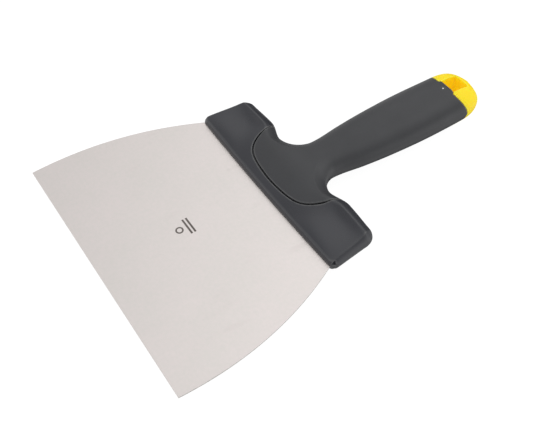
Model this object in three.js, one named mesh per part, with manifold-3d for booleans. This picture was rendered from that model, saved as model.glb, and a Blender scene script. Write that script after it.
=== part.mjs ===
// Bench scraper: a stainless blade riveted between two head shells, a hollow grip whose root
// lies over the head as two tongues, and an end cap with a hanging slot.
// Millimetres. X is the width, Y runs from the working edge (y = 0) to the cap, Z is up through
// the blade's thickness, and the blade's mid-plane is z = 0.
import * as THREE from 'three';
import { mergeVertices } from 'three/addons/utils/BufferGeometryUtils.js';
import Module from 'manifold-3d';

// ---------------------------------------------------------------- driving dimensions

const GAP = 0.3; // clearance left between neighbouring pieces

const EDGE_HALF = 100; // half the working edge
const NOSE_HALF = 76; // half the blade's width where it enters the head
const NOSE_Y = 122.65; // head's front line at its two ends
const NOSE_BOW = 1.25; // how far that line bows towards the blade in the middle
const BLADE_T = 1; // sheet thickness
const SIDE_BULGE = [102.8, 96.0]; // half widths that pull the curved side, at 1/3 and 2/3 length

const PLATE_HALF = 66; // blade inside the head
const PLATE_STEP = 12; // it narrows to that width over this length
const PLATE_END = 152;
const PLATE_CORNER = 8;
const TANG_HALF = 8; // tang inside the spine
const TANG_FILLET = 6;
const TANG_TIP_HALF = 5.2;
const TANG_STEP_Y = 184;
const TANG_STEP = 4; // length of the taper to the tip's width
const TANG_END = 205;
const TANG_CHAMFER = 2;

const NOSE_LIP = 1.5; // depth of the head's front bevel
const NOSE_H = 4.55; // height of the front ridge above the blade's plane
const ROOT_RIDGE_H = 10.2; // height of the back ridge over the root
const TIP_RIDGE_H = 7.7; // and at the wing tips
const RIDGE_INSET = 0.88; // how far the back ridge stands in from the outline, per unit of height
const RIDGE_EASE = 0.25; // how softly the upper face levels out at the back ridge
const BACK_POWER = 2.8; // power of the head's back face, seen from the end
const END_POWER = 2; // and of its end faces
const ROOT_CROWN = 0.7; // head's crown over the root
const CROWN_X = [22, 47]; // it fades out between these
const WING_DISH = 0.7; // hollow of the wings' faces
const WING_STEP = 2.2; // how flat that hollow is in its middle
const DISH_X = [30, 50, 66, 90]; // it fades in over the first two, and out over the last two
const END_BULGE = [3.1, 4.2]; // bulge of the head's end faces, at the front and the back
const END_FRONT = 76; // half width of the end ridge at the front
const END_BACK = 71.1; // and at the back
const END_BACK_Y = 156;
const HEAD_CORNER = 7; // plan radius of the head's back corners
const NOSE_CORNER = 5.5; // and of its front corners
const CORNER_NOTCH = [[76, 123.4, 1.7], [82, 126.4, 4.1]]; // small notch in each front corner

const BACK_WING_Y = 162; // head's back line at the wings' hump
const BACK_TIP_Y = 160.9; // at the wing tips
const BACK_ROOT_Y = 157.5; // and beside the neck
const DIP_X = 29.4; // where the dip starts to rise
const HUMP_X = 45.7; // top of the hump
const TIP_X = 74; // where the hump has fallen to the tips' line
const ROOT_X = 30; // the back ridge is at its full height up to here

const SEAM_HALF = 39.1; // half width of the grip's tongue at the back ridge
const SEAM_FRONT = 129.4; // tongue's front line
const SEAM_END = 152.4; // where the seam meets the back ridge
const SEAM_PULL = [24, 5.5, 4.5]; // the seam curve's control points: across, in from its side, back
const SEAM_FLARE = 2.5; // the seam widens behind the ridge
const SEAM_GAP = 1.1;
const TONGUE_T = 2.1; // thickness of the tongues and of the grip's back wall

const NOTCH_R = 15.9; // radius of the finger notch beside the neck
const NOTCH_Y = BACK_ROOT_Y + NOTCH_R; // its centre
const START_Y = 146.5; // the neck starts inside the head
const SUNK = 0.3; // and there it lies this far below the head's face
const RISE_START = 150; // it goes from the head's height to its own
const RISE_END = 166;
const NECK_END = 176;
const NECK_SQUARE_Y = 155.4; // the neck has the head's flat top up to here
const NECK_ROUND_Y = 175.7; // and is oval from here
const OVAL_POWER = 2.3; // superellipse power of the oval
const ROUND_Y = 286.7; // the end starts to round off here
const ROUND_PLAN = 2.7; // superellipse powers of the end seen from above
const ROUND_SIDE = 2.6; // and from the side

const CAP_Y = 283.4; // where the grip ends and the cap begins, on the top
const CAP_SIDE_Y = 290.3; // and at mid-height on the sides
const CAP_MID_Z = -4.6;
const CAP_CURVE = 1.6; // power of the curve between the two
const END_Y = 309.8; // overall length
const GRIP_WALL = 3;
const BORE_END = 190; // the close-fitting bore opens into the hollow grip here

const TAB_FRONT = 8.4; // half width of the grip's end tab at its root
const TAB_BACK = 6.9; // and at its end
const TAB_END = 285.8;
const SLOT_HALF = 6.8; // hanging slot
const SLOT_START = 286.2;
const SLOT_END = 300.7;
const TENON_START = 270;
const TENON_MOUTH = 7; // depth of the relief in the tenon's front face
const TENON_RIM = 7.2; // how far that relief stands in from the outer form

const SPINE_START = 145;
const SPINE_HALF = 11.5; // spine of the head shells inside the grip
const SPINE_H = 5.6;
const PRONG_H = 2.4;
const SPINE_END = 200;
const BARB_HALF = 12.7; // snap barbs behind the bore
const BARB_LAND = 2; // length of their flat
const PRONG_INNER = 7; // the spine splits into two prongs here, so that the barbs can bend in
const PRONG_START = 186;

const HEAD_RIVET = { shaft: 2, head: 3.5, headT: 1.4, reach: 5.8 };
const TANG_RIVET = { shaft: 1.7, head: 3, headT: 1.2, reach: 5.2 };
const HEAD_RIVET_X = 24;
const HEAD_RIVET_Y = 146;
const TANG_RIVET_Y = [164, 178];
const PIN_R = 0.8;
const PIN_Y = 281.6;

const HEAD_STEPS = [22, 6, 4, 4]; // facets along the head, from front to back, through it, and round a corner
const NECK_ROWS = 0.36; // share of the handle's rows that lie in the notch
const CAP_STEPS = 12; // facets along the grip's end, seen from the side
const REACH = 400; // longer than the object, for cutting tools
const DEPTH = 50; // deeper than the object, for cutting tools

const lib = await Module();
lib.setup();

// ---------------------------------------------------------------- small helpers

const { clamp, lerp, smoothstep } = THREE.MathUtils;

// A smooth value along Y through a few [y, value] stations.
function along(stations) {
  return (y) => {
    const last = stations.length - 1;
    const t = clamp(y, stations[0][0], stations[last][0]);
    let i = 0;
    while (i < last - 1 && t > stations[i + 1][0]) i += 1;
    const slope = (k) => {
      const a = stations[Math.max(k - 1, 0)];
      const b = stations[Math.min(k + 1, last)];
      return (b[1] - a[1]) / (b[0] - a[0]);
    };
    const step = stations[i + 1][0] - stations[i][0];
    const u = (t - stations[i][0]) / step;
    const rise = stations[i + 1][1] - stations[i][1];
    const bend = u * (1 - u) * ((1 - u) * (slope(i) * step - rise) + u * (rise - slope(i + 1) * step));
    return stations[i][1] + rise * u + bend;
  };
}

// Moves every vertex of a geometry by a formula.
function warp(geometry, formula) {
  const position = geometry.attributes.position;
  const point = new THREE.Vector3();
  for (let i = 0; i < position.count; i += 1) {
    point.fromBufferAttribute(position, i);
    formula(point);
    position.setXYZ(i, point.x, point.y, point.z);
  }
  return geometry;
}

// Closed geometry to a solid that can be cut and joined.
function solid(geometry) {
  const bare = geometry.clone();
  bare.deleteAttribute('normal');
  bare.deleteAttribute('uv');
  const welded = mergeVertices(bare, 1e-4);
  const triVerts = new Uint32Array(welded.index.array);
  const vertProperties = new Float32Array(welded.attributes.position.array);
  return new lib.Manifold(new lib.Mesh({ numProp: 3, vertProperties, triVerts }));
}

// Solid back to a geometry.
function shaped(body) {
  const mesh = body.getMesh();
  const geometry = new THREE.BufferGeometry();
  geometry.setAttribute('position', new THREE.BufferAttribute(new Float32Array(mesh.vertProperties), 3));
  geometry.setIndex(new THREE.BufferAttribute(new Uint32Array(mesh.triVerts), 1));
  geometry.computeVertexNormals();
  return geometry;
}

// Straight prism over a plan outline, from one height to another.
function prism(outline, low, high) {
  const geometry = new THREE.ExtrudeGeometry(outline, { depth: high - low, bevelEnabled: false });
  return solid(geometry.translate(0, 0, low));
}

function block(low, high) {
  const size = new THREE.Vector3().subVectors(high, low);
  const middle = new THREE.Vector3().addVectors(high, low).multiplyScalar(0.5);
  return solid(new THREE.BoxGeometry(size.x, size.y, size.z).translate(middle.x, middle.y, middle.z));
}

// Outline that is the same on both sides of X = 0, from its right half, front to back.
function mirrored(points) {
  const left = points.map(([x, y]) => [-x, y]).reverse();
  return new THREE.Shape([...points, ...left].map(([x, y]) => new THREE.Vector2(x, y)));
}

// ---------------------------------------------------------------- outer form

const noseY = (x) => NOSE_Y - NOSE_BOW * (1 - (x / NOSE_HALF) ** 2);

// Back line of the head: a hump on each wing and a dip beside the neck.
function backY(x) {
  const side = Math.abs(x);
  const rise = smoothstep(side, DIP_X, HUMP_X);
  const fall = smoothstep(side, HUMP_X, TIP_X);
  return lerp(BACK_ROOT_Y, BACK_WING_Y, rise) + (BACK_TIP_Y - BACK_WING_Y) * fall;
}

const ridgeHeight = (x) => lerp(ROOT_RIDGE_H, TIP_RIDGE_H, smoothstep(Math.abs(x), ROOT_X, TIP_X));
const ridgeY = (x) => backY(x) - RIDGE_INSET * ridgeHeight(x);

// Height of the head's upper face: crowned over the root, hollow on the wings.
function headTop(x, y) {
  const front = noseY(x) + NOSE_LIP;
  const t = Math.max((y - front) / (ridgeY(x) - front), 0);
  const eased = Math.max(RIDGE_EASE - Math.abs(t - 1), 0) ** 2 / (4 * RIDGE_EASE);
  const s = Math.min(t, 1) - eased;
  const side = Math.abs(x);
  const wing = smoothstep(side, DISH_X[0], DISH_X[1]) * (1 - smoothstep(side, DISH_X[2], DISH_X[3]));
  const root = 1 - smoothstep(side, CROWN_X[0], CROWN_X[1]);
  const belly = ROOT_CROWN * root - WING_DISH * wing;
  const step = WING_STEP * wing * s * (1 - s) * (1 - 2 * s);
  return lerp(NOSE_H, ridgeHeight(x), s + step) + belly * 4 * s * (1 - s);
}

// Half width of the head at its ends, which narrows towards the back and bulges between its ridges.
function endHalf(y, c) {
  const behind = Math.max((y - NOSE_Y) / (END_BACK_Y - NOSE_Y), 0);
  const swell = lerp(END_BULGE[0], END_BULGE[1], behind);
  return lerp(END_FRONT, END_BACK, behind) + swell * (1 - Math.abs(c) ** END_POWER);
}

// Superellipse quadrant, 1 in the middle and 0 at the end.
const bulge = (c, power) => (1 - Math.abs(c) ** power) ** (1 / power);

// Plan outline of the head's right half, from the middle of its nose to the middle of its back.
function headPlan() {
  const half = END_FRONT + END_BULGE[0];
  const nose = NOSE_Y - NOSE_BOW - 1;
  const backHalf = END_BACK + END_BULGE[1];
  const plan = new THREE.Path();
  plan.moveTo(0, nose);
  plan.lineTo(half - NOSE_CORNER, nose);
  plan.quadraticCurveTo(half, NOSE_Y - 0.6, half, NOSE_Y + NOSE_CORNER);
  plan.lineTo(backHalf + 1, BACK_TIP_Y - 1.3 * HEAD_CORNER);
  plan.quadraticCurveTo(backHalf, BACK_TIP_Y, backHalf - HEAD_CORNER, BACK_TIP_Y + 0.3);
  plan.lineTo(HUMP_X + 4, BACK_WING_Y + 1);
  return plan.getPoints(HEAD_STEPS[3]).slice(1).map((point) => [point.x, point.y]);
}

// The head as one body, moved in by an inset on its upper, lower and back faces.
function headForm(inset) {
  const [columns, rows, layers] = HEAD_STEPS;
  const box = new THREE.BoxGeometry(2, 1, 2, columns, rows, layers).translate(0, 0.5, 0);
  const body = warp(box, (p) => {
    const c = p.z;
    const b = p.y;
    const column = p.x * END_FRONT;
    const front = noseY(column) + NOSE_LIP * c * c;
    const back = ridgeY(column);
    const lean = RIDGE_INSET * ridgeHeight(column) * (1 - Math.abs(c) ** BACK_POWER);
    const y = lerp(front, back, b) + b ** 4 * lean;
    const x = p.x * endHalf(y, c);
    p.set(x, y - inset * b, c * (headTop(column, Math.min(y, back)) - inset));
  });
  return solid(body).intersect(prism(mirrored(headPlan()), -DEPTH, DEPTH));
}

// Half width, top and bottom of the neck and handle at stations along Y.
const gripHalf = along([
  [168, 15.2], [180, 15.7], [197, 18], [220, 20], [250, 21.2], [283, 20.8], [312, 19.7],
]);
const gripTop = along([[150, 9.75], [180, 9.9], [220, 10.4], [250, 10.6], [284, 10.3], [312, 9.9]]);
const gripBottom = along([
  [150, -9.8], [172, -11.3], [200, -13.5], [250, -16.3], [284, -17.5], [312, -17.5],
]);

// Y of a row of sections, for t from 0 to 1. Rows lie close together in the notch and at the rounded end.
function rowY(t, from, to) {
  if (from !== START_Y) return lerp(from, to, t);
  if (t < NECK_ROWS) return lerp(START_Y, NECK_END, t / NECK_ROWS);
  const left = (1 - t) / (1 - NECK_ROWS);
  return lerp(NECK_END, END_Y - 0.02, 1 - left ** 1.5);
}

// Neck, handle and cap as one body of sections, moved in by an inset. The neck's sections have the
// head's flat top and follow the notches' arcs, and further back they turn into ovals.
function handleForm(inset, from = START_Y, to = END_Y, rows = 22, sides = 24) {
  const tube = new THREE.CylinderGeometry(1, 1, 1, sides, rows).translate(0, 0.5, 0);
  return solid(warp(tube, (p) => {
    const y = rowY(p.y, from, to);
    const past = clamp((y - ROUND_Y) / (END_Y - ROUND_Y), 0, 1);
    const wide = gripHalf(Math.max(y, NOTCH_Y)) * bulge(past, ROUND_PLAN);
    const middle = (gripTop(y) + gripBottom(y)) / 2;
    const ownHeight = (gripTop(y) - gripBottom(y)) / 2 * bulge(past, ROUND_SIDE);
    const late = smoothstep(y, NECK_SQUARE_Y, NECK_ROUND_Y);
    const reach = Math.max(lerp(RIDGE_INSET * ROOT_RIDGE_H, wide, late) - inset, 0);
    const length = Math.hypot(p.x, p.z);
    if (length < 0.5) return p.set(0, y, middle);
    const u = Math.abs(p.x) ** (2 / lerp(1, OVAL_POWER, late));
    const c = Math.abs(p.z) ** (2 / lerp(BACK_POWER, OVAL_POWER, late));
    const radius = NOTCH_R + inset + reach * (1 - u);
    const drop = Math.max(NOTCH_Y - y, 0);
    const side = wide + NOTCH_R - Math.sqrt(Math.max(radius ** 2 - drop ** 2, 0));
    const x = Math.abs(p.x) < 1e-6 ? 0 : Math.sign(p.x) * Math.max(side, 0);
    const shared = headTop(x, y) - (p.y > 0 ? 0 : SUNK);
    const high = lerp(shared, ownHeight, smoothstep(y, RISE_START, RISE_END)) - inset;
    return p.set(x, y, middle + Math.sign(p.z) * Math.max(high, 0) * c);
  }));
}

// ---------------------------------------------------------------- plan outlines

// Blade outline, grown by a clearance: the working edge, the curved side, the plate and the tang.
function bladeOutline(grow = 0) {
  const half = PLATE_HALF + grow;
  const back = PLATE_END + grow;
  const inner = TANG_HALF + grow;
  const tip = TANG_TIP_HALF + grow;
  const third = NOSE_Y / 3;
  const neck = NOSE_HALF + grow;
  const pull = SIDE_BULGE.map((x) => x + grow);
  const side = new THREE.Path();
  side.moveTo(EDGE_HALF + grow, -grow);
  side.bezierCurveTo(pull[0], third, pull[1], 2 * third, neck, NOSE_Y);
  side.quadraticCurveTo(half + PLATE_CORNER, NOSE_Y + PLATE_CORNER, half, NOSE_Y + PLATE_STEP);
  side.lineTo(half, back - PLATE_CORNER);
  side.quadraticCurveTo(half, back, half - PLATE_CORNER, back);
  side.lineTo(inner + TANG_FILLET, back);
  side.quadraticCurveTo(inner, back, inner, back + TANG_FILLET);
  side.lineTo(inner, TANG_STEP_Y);
  side.lineTo(tip, TANG_STEP_Y + TANG_STEP);
  side.lineTo(tip, TANG_END - TANG_CHAMFER);
  side.lineTo(tip - TANG_CHAMFER, TANG_END + grow);
  return mirrored(side.getPoints(12).map((point) => [point.x, point.y]));
}

// Everything behind the U-shaped seam, grown outwards by a clearance.
function seamOutline(grow) {
  const [across, inward, rearward] = SEAM_PULL;
  const front = SEAM_FRONT - grow;
  const half = SEAM_HALF + grow;
  const seam = new THREE.Path();
  seam.moveTo(0, front);
  seam.bezierCurveTo(across, front, half - inward, front + rearward, half, SEAM_END);
  seam.lineTo(half + SEAM_FLARE, BACK_WING_Y + 2);
  seam.lineTo(half + SEAM_FLARE, REACH);
  return mirrored(seam.getPoints(10).slice(1).map((point) => [point.x, point.y]));
}

// The grip's end as seen from the side: rounded, and furthest back at mid-height.
function gripEndSide(grow) {
  const high = gripTop(CAP_Y);
  const outline = new THREE.Shape();
  outline.moveTo(0, -DEPTH);
  outline.lineTo(CAP_Y + grow, -DEPTH);
  for (let i = 0; i <= CAP_STEPS; i += 1) {
    const c = 2 * i / CAP_STEPS - 1;
    const back = lerp(CAP_SIDE_Y, CAP_Y, Math.abs(c) ** CAP_CURVE) + grow;
    outline.lineTo(back, CAP_MID_Z + c * (high - CAP_MID_Z));
  }
  outline.lineTo(CAP_Y + grow, DEPTH);
  outline.lineTo(0, DEPTH);
  return outline;
}

// The grip's share at the cap: all in front of that line, and a tab up to the slot.
function gripEnd(grow) {
  const front = TAB_FRONT + grow;
  const back = TAB_BACK + grow;
  const tab = mirrored([[front, TENON_START], [front, CAP_Y + grow], [back, TAB_END + grow]]);
  const sides = new THREE.ExtrudeGeometry(gripEndSide(grow), { depth: 2 * EDGE_HALF, bevelEnabled: false });
  // the outline's first axis becomes Y and its second Z
  sides.translate(0, 0, -EDGE_HALF).rotateY(Math.PI / 2).rotateX(Math.PI / 2);
  return solid(sides).add(prism(tab, -DEPTH, DEPTH));
}

// Solid part of the spine.
const spineOutline = () => mirrored([[SPINE_HALF, SPINE_START], [SPINE_HALF, PRONG_START]]);

// The two flat prongs that end in snap barbs.
function prongOutline() {
  const step = BORE_END + GAP;
  return mirrored([
    [SPINE_HALF, PRONG_START - 4],
    [SPINE_HALF, step],
    [BARB_HALF, step],
    [BARB_HALF, step + BARB_LAND],
    [SPINE_HALF - 2, SPINE_END],
    [PRONG_INNER, SPINE_END],
    [PRONG_INNER, PRONG_START],
  ]);
}

// ---------------------------------------------------------------- pieces

function rivetProfile(size, grow) {
  const { shaft, head, headT, reach } = size;
  const shoulder = reach - headT - grow;
  const top = grow > 0 ? REACH : reach;
  return [
    [0, -top], [head + grow, -top], [head + grow, -shoulder], [shaft + grow, -shoulder],
    [shaft + grow, shoulder], [head + grow, shoulder], [head + grow, top], [0, top],
  ].map(([r, z]) => new THREE.Vector2(r, z));
}

// A rivet with two flat heads; grown, it is the stepped hole that it sits in.
function rivet(size, x, y, grow = 0) {
  const turned = new THREE.LatheGeometry(rivetProfile(size, grow), 12).rotateX(Math.PI / 2);
  return solid(turned.translate(x, y, 0));
}

const rivets = {
  rivet_left: [HEAD_RIVET, -HEAD_RIVET_X, HEAD_RIVET_Y],
  rivet_middle: [HEAD_RIVET, 0, HEAD_RIVET_Y],
  rivet_right: [HEAD_RIVET, HEAD_RIVET_X, HEAD_RIVET_Y],
  tang_rivet_front: [TANG_RIVET, 0, TANG_RIVET_Y[0]],
  tang_rivet_rear: [TANG_RIVET, 0, TANG_RIVET_Y[1]],
};

function rod(radius, x, y, low, high, sides = 16) {
  const bar = new THREE.CylinderGeometry(radius, radius, high - low, sides).rotateX(Math.PI / 2);
  return solid(bar.translate(x, y, (low + high) / 2));
}

function blade() {
  let sheet = prism(bladeOutline(), -BLADE_T / 2, BLADE_T / 2);
  for (const [size, x, y] of Object.values(rivets)) {
    sheet = sheet.subtract(rod(size.shaft + GAP, x, y, -DEPTH, DEPTH));
  }
  return sheet;
}

// The four small notches in the head's front corners.
function cornerNotches() {
  const [low, high] = CORNER_NOTCH.map((corner) => new THREE.Vector3(...corner));
  const right = block(low, high);
  const upper = right.add(right.mirror([1, 0, 0]));
  return upper.add(upper.mirror([0, 0, 1]));
}

// Both head shells as one body, before they are parted.
function headBody() {
  const wings = headForm(0).subtract(prism(seamOutline(SEAM_GAP), -DEPTH, DEPTH));
  const core = headForm(TONGUE_T + GAP);
  const spine = prism(spineOutline(), -SPINE_H, SPINE_H).add(prism(prongOutline(), -PRONG_H, PRONG_H));
  const pocket = prism(bladeOutline(GAP), -BLADE_T / 2 - GAP, BLADE_T / 2 + GAP);
  let body = wings.add(core).add(spine).subtract(pocket).subtract(cornerNotches());
  for (const [size, x, y] of Object.values(rivets)) body = body.subtract(rivet(size, x, y, GAP));
  return body;
}

function headShell(body, side) {
  const low = new THREE.Vector3(-REACH, 0, side > 0 ? GAP / 2 : -DEPTH);
  const high = new THREE.Vector3(REACH, REACH, side > 0 ? DEPTH : -GAP / 2);
  return body.intersect(block(low, high));
}

const pinHole = () => rod(PIN_R + GAP, 0, PIN_Y, -DEPTH, DEPTH, 12);

function grip() {
  const outer = headForm(0).add(handleForm(0));
  const zone = prism(seamOutline(0), -DEPTH, DEPTH).intersect(gripEnd(0));
  const bore = block(
    new THREE.Vector3(-SPINE_HALF - GAP, SPINE_START - 5, -SPINE_H - GAP),
    new THREE.Vector3(SPINE_HALF + GAP, BORE_END + 1, SPINE_H + GAP),
  );
  const hollow = handleForm(GRIP_WALL, BORE_END, CAP_SIDE_Y + 3, 10, 20);
  return outer
    .intersect(zone)
    .subtract(headForm(TONGUE_T))
    .subtract(bore)
    .subtract(hollow)
    .subtract(pinHole());
}

function endCap() {
  const outer = handleForm(0).subtract(gripEnd(GAP));
  const tenon = handleForm(GRIP_WALL + GAP, TENON_START, TAB_END + 4, 3, 20);
  const slot = block(
    new THREE.Vector3(-SLOT_HALF, SLOT_START, -DEPTH),
    new THREE.Vector3(SLOT_HALF, SLOT_END, DEPTH),
  );
  const relief = handleForm(TENON_RIM, TENON_START - 1, TENON_START + TENON_MOUTH, 1, 12);
  return outer
    .add(tenon)
    .subtract(slot)
    .subtract(relief)
    .subtract(pinHole());
}

const capPin = () => rod(PIN_R, 0, PIN_Y, gripBottom(PIN_Y) + 0.2, gripTop(PIN_Y) + 0.1, 12);

// ---------------------------------------------------------------- materials and scene

const STEEL = { color: 0xd8d2cf, roughness: 0.42, metalness: 0.9 };
const PIN_STEEL = { color: 0xd0d2d4, roughness: 0.3, metalness: 1 };
const GREY = { color: 0x4c4d50, roughness: 0.62, metalness: 0 };
const YELLOW = { color: 0xfbd92a, roughness: 0.5, metalness: 0 };

const group = new THREE.Group();

function place(name, body, finish) {
  const mesh = new THREE.Mesh(shaped(body), new THREE.MeshStandardMaterial(finish));
  mesh.name = name;
  group.add(mesh);
}

const bothShells = headBody();
place('blade', blade(), STEEL);
place('head_upper_shell', headShell(bothShells, 1), GREY);
place('head_lower_shell', headShell(bothShells, -1), GREY);
for (const [name, [size, x, y]] of Object.entries(rivets)) place(name, rivet(size, x, y), PIN_STEEL);
place('grip', grip(), GREY);
place('end_cap', endCap(), YELLOW);
place('cap_pin', capPin(), PIN_STEEL);

export default group;
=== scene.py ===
import bpy
import numpy as np
from mathutils import Matrix, Vector


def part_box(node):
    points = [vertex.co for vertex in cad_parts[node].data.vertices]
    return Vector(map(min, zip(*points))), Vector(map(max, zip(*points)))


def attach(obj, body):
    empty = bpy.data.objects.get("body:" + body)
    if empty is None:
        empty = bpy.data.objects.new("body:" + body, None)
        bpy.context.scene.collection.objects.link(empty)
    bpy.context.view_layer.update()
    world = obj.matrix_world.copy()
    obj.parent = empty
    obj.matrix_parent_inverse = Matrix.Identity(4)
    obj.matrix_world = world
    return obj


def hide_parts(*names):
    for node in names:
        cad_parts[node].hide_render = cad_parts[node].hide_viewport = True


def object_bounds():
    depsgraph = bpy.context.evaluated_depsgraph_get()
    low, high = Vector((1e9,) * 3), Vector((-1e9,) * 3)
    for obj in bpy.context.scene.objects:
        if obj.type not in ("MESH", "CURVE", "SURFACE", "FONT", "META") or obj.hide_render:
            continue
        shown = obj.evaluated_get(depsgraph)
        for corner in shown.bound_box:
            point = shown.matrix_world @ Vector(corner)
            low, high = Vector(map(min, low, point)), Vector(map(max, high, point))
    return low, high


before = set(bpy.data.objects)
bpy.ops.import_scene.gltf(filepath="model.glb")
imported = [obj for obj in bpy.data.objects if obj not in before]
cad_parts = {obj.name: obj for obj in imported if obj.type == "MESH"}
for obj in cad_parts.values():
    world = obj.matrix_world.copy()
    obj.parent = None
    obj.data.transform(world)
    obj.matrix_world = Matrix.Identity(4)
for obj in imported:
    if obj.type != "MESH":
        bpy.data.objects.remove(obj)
cad_low, cad_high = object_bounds()

MM = 0.001  # metres


def corners(node):
    """Lowest and highest corner of a CAD node, in millimetres."""
    low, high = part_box(node)
    return np.array(low) / MM, np.array(high) / MM


# ---------------------------------------------------------------- driving dimensions

blade_low, blade_high = corners("blade")
shell_low, shell_high = corners("head_upper_shell")
grip_low, grip_high = corners("grip")
cap_low, cap_high = corners("end_cap")
pin_low, pin_high = corners("cap_pin")

GAP = 0.3  # clearance between pieces
BLADE_T = blade_high[2] - blade_low[2]
TANG_END = blade_high[1]
SPINE_END = shell_high[1]
END_Y = cap_high[1]
TENON_START = cap_low[1]

# blade outline: half widths, and how far behind the working edge its parts lie
EDGE_HALF = 100
NOSE_HALF = 76
NOSE_Y = 122.65
NOSE_BOW = 1.25
SIDE_BULGE = (102.8, 96.0)
SHOULDER = (2, 6)  # how far out and back the sheet steps in where the head covers it
PLATE_HALF, PLATE_STEP, PLATE_END, PLATE_CORNER = 66, 12, 152, 8
TANG_HALF, TANG_FILLET, TANG_TIP_HALF, TANG_STEP_Y, TANG_STEP = 8, 6, 5.2, 184, 4
TANG_TIP_CORNER = 2
SIDE_POINTS, TURN_POINTS = 60, 10
OUTLINE_LIFT = 1e-6  # keeps Y rising from point to point, for looking widths up
BLADE_EDGE = 0.18  # radius of the sheet's rounded edges
BLADE_ROWS, BLADE_STEPS, BLADE_TURN = 90, 24, 4
FRONT_ROWS, BACK_ROW = (0, 0.03, 0.1), 0.05  # rows close to the working edge and to the tang's tip

# head
NOSE_LIP, NOSE_H = 1.5, 4.55
ROOT_RIDGE_H, TIP_RIDGE_H, RIDGE_INSET = 10.2, 7.7, 0.88
ROOT_CROWN, CROWN_X = 0.7, (22, 47)
WING_DISH, WING_STEP, DISH_X = 0.7, 2.9, (34, 54, 60, 84)
EASE = (0.02, 0.25)  # how softly the head's slope levels out at the ridge, on the wings and the root
END_FRONT, END_BACK, END_BACK_Y, END_PAST = 76, 71.1, 156, 1.2
END_BULGE = (3.1, 4.2)
BACK_WING_Y, BACK_TIP_Y, BACK_ROOT_Y = 162, 160.9, 157.5
DIP_X, HUMP_X, TIP_X, ROOT_X = 29.4, 45.7, 74, 30
BACK_POWER = 2.8
BACK_CORNER, FRONT_CORNER = (0.7, 6.3), (1.4, 5.5)  # radius at the ridge and at mid height
RIDGE_ROUND = 0.7
SLOPE_STEP = 0.1  # over which the head's slope is measured
CORNER_NOTCH_AT, CORNER_NOTCH_HALF = (78.4, 124.9, 2.9), (2.4, 1.5, 1.2)

# seam between the wings and the grip's tongues
SEAM_HALF, SEAM_FRONT, SEAM_GAP = 39.1, 129.4, 1.1
SEAM_CURVE = (8.0, -10.8, 26)
SEAM_SLOPE = 4.7
SEAM_CLOSES = (144, 152)  # where along Y the seam narrows to the plain clearance
TONGUE_T = 2.1

# neck, handle and cap
NOTCH_R = 15.9
NECK_START, NECK_SIDE = 135, 1
RISE_START, RISE_END = 150, 166  # where the head's upper face blends into the grip's
ARC_BLEND = (-5, 3)  # where, about its middle, the finger notch's arc gives way to the grip's side
NECK_SQUARE_Y, NECK_ROUND_Y, OVAL_POWER = 155.4, 175.7, 2.3
ROUND_Y, ROUND_PLAN, ROUND_SIDE = 286.7, 2.7, 2.6
GRIP_HALF = ((168, 15.2), (180, 15.7), (197, 18), (220, 20), (250, 21.2), (283, 20.8), (312, 19.7))
GRIP_TOP = ((150, 9.75), (180, 9.9), (220, 10.4), (250, 10.6), (284, 10.3), (312, 9.9))
GRIP_BOTTOM = ((150, -9.8), (172, -11.3), (200, -13.5), (250, -16.3), (284, -17.5), (312, -17.5))
CAP_Y, CAP_SIDE_Y, CAP_MID_Z, CAP_CURVE, CAP_LEAN = 283.4, 290.3, -4.6, 1.6, 0.55
GRIP_WALL, BORE_END = 3, 190
TAB_FRONT, TAB_BACK, TAB_END = 8.4, 6.9, 285.8
SLOT_HALF, SLOT_START, SLOT_END, SLOT_CORNER = 6.8, 286.2, 300.7, 0.8
TENON_MOUTH, TENON_RIM, TENON_PAST_TAB = 7, 7.2, 4
SPINE_START, SPINE_HALF, SPINE_H, PRONG_H = 145, 11.5, 5.6, 2.4
BARB_HALF, BARB_LAND, PRONG_INNER, PRONG_START = 12.7, 2, 7, 186
PRONG_ROOT, PRONG_TAPER, BORE_LEAD, BORE_LAP = 4, 2, 5, 1

# limits that keep the handle's field well behaved
ROUND_LAST = 0.9999
THINNEST = 0.05  # least height and reach of its section
SMALL = 1e-3
FARTHEST = 8  # it reaches no farther out in plan
INSIDE = -9  # a distance that is inside wherever it counts
CURVE_STEP = 0.05

# fasteners: a rivet's shaft and the depth of its heads, as parts of the head's radius
RIVETS = ("rivet_left", "rivet_middle", "rivet_right", "tang_rivet_front", "tang_rivet_rear")
RIVET_SHAFT, RIVET_HEAD, RIVET_BREAK = 0.57, 0.4, 0.25
LATHE_SIDES = 48
# the pin's ends, as (part of its radius, distance in from the end)
PIN_LOW_END = ((0, 0), (0.6, 0.03), (0.9, 0.15), (1, 0.4))
PIN_HIGH_END = ((1, 0.45), (0.92, 0.2), (0.7, 0.06), (0.35, 0), (0, 0))

# radii of the eased edges
MOULD_EDGE, POCKET_EDGE, NOTCH_EDGE, PARTING_EDGE = 0.3, 0.15, 0.2, 0.25
CAP_EDGE, SLOT_EDGE, PIN_EDGE = 0.2, 0.5, 0.25


# ---------------------------------------------------------------- small mathematics


def smoothstep(v, low, high):
    t = np.clip((v - low) / (high - low), 0, 1)
    return t * t * (3 - 2 * t)


def lerp(a, b, t):
    return a + (b - a) * t


def bulge(c, power):
    """Round of a face between its two ridges: 1 in the middle and 0 at the ridges."""
    return (1 - np.clip(np.abs(c), 0, 1) ** power) ** (1 / power)


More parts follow.
